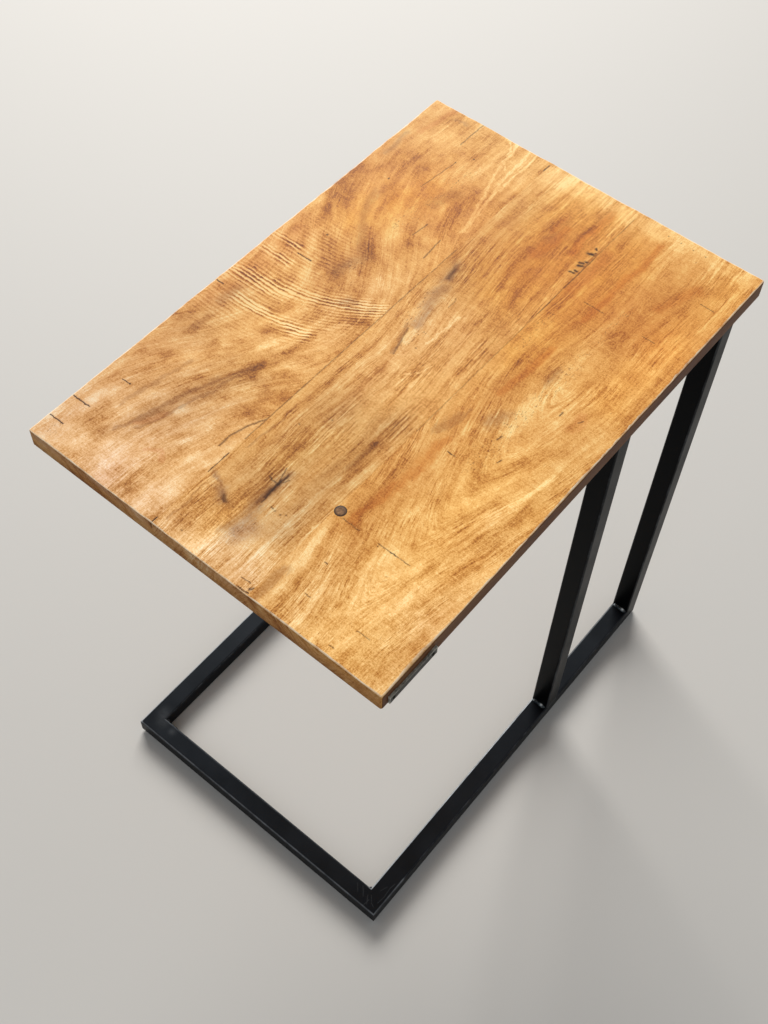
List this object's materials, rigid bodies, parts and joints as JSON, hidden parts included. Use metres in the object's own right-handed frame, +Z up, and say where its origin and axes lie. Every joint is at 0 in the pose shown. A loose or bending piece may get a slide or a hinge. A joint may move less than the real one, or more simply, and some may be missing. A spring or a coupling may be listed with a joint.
{
  "type": "c shaped side table",
  "caption": "C-shaped side table: a glued board top cantilevered on a square-tube steel frame, open on one side so that it slides over a sofa or bed.",
  "frame": {"origin": "on the floor, under the middle of the top", "axes": "+Z up; +X across the table, from its open side to its uprights; +Y along the boards, from the front edge to the back edge"},
  "size_m": [0.3506, 0.5, 0.55],
  "materials": {
    "board_wood": "oiled, satin",
    "plug_wood": "oiled, dark end grain",
    "frame_steel": "black, satin",
    "weld_metal": "black over ground weld, satin",
    "pad_felt": "grey felt",
    "cap_plastic": "black, matte",
    "screw_steel": "zinc plated",
    "plate_metal": "aged, dull"
  },
  "bodies": {
    "root": {"board_left": "board_wood", "board_middle": "board_wood", "board_right": "board_wood", "wood_plug": "plug_wood", "base_front_rail": "frame_steel", "base_left_rail": "frame_steel", "base_right_rail": "frame_steel", "upright_front": "frame_steel", "upright_back": "frame_steel", "top_front_rail": "frame_steel", "top_back_rail": "frame_steel", "top_left_rail": "frame_steel", "top_right_rail": "frame_steel", "foot_welds": "weld_metal", "head_welds": "weld_metal", "base_corner_welds": "weld_metal", "top_corner_welds": "weld_metal", "pad_front_left": "pad_felt", "pad_front_right": "pad_felt", "pad_back_left": "pad_felt", "pad_back_right": "pad_felt", "left_rail_cap": "cap_plastic", "top_screws": "screw_steel", "edge_plate": "plate_metal", "edge_plate_pins": "plate_metal"}
  },
  "joints": []
}
